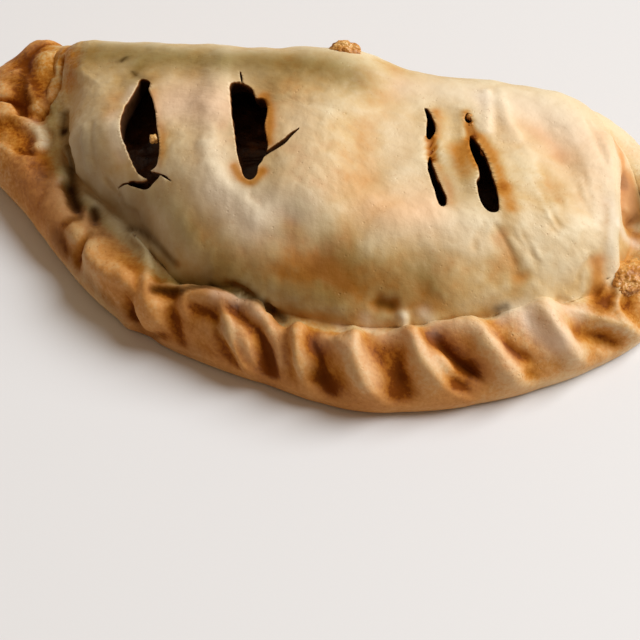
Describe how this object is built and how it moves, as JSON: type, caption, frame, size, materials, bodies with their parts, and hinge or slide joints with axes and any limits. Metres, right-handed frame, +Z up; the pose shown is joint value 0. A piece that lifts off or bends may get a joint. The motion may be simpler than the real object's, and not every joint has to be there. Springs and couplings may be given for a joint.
{
  "type": "calzone",
  "caption": "Half-moon baked dough parcel with a pleated front rim, a plain fold at the back and slits in its domed top that show a dark filling.",
  "frame": {"origin": "middle of the calzone's box, on the surface that it lies on", "axes": "+X from the left tip to the right end, +Y from the crimped front edge to the fold at the back, +Z up"},
  "size_m": [0.2117, 0.1078, 0.0465],
  "materials": {
    "crust": "baked dough, matt, browned on the rim",
    "filling": "dark moist filling",
    "cheese": "browned cheese, satin"
  },
  "bodies": {
    "root": {"crust": "crust", "filling": "filling", "cheese_bead": "cheese", "cheese_leak": "cheese"}
  },
  "joints": []
}
